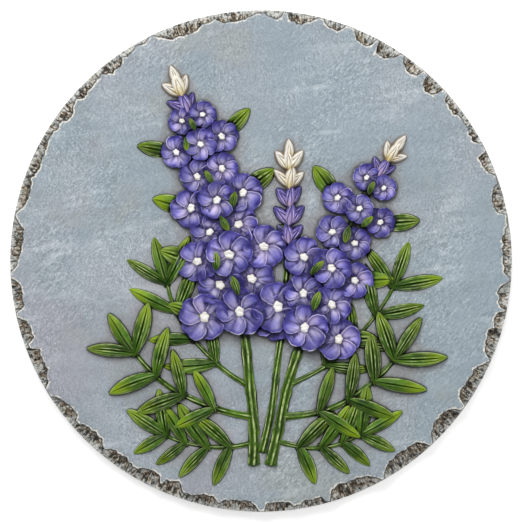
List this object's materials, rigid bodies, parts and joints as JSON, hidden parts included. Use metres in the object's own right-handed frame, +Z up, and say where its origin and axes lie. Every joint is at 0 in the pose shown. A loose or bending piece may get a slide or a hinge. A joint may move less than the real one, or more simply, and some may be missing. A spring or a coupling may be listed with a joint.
{
  "type": "garden stepping stone",
  "caption": "Round cast stepping stone with a chipped rim and a raised, painted spray of flower spikes and leaves on its face, laid flat as one step of a garden path.",
  "frame": {"origin": "centre of the underside", "axes": "+Z up out of the decorated face, +Y to the top of the picture, +X to its right"},
  "size_m": [0.3048, 0.3048, 0.0289],
  "materials": {
    "slate_paint": "matte",
    "petal_paint": "satin",
    "leaf_paint": "satin",
    "white_paint": "satin"
  },
  "bodies": {
    "root": {"stepping_stone": "slate_paint"}
  },
  "joints": []
}
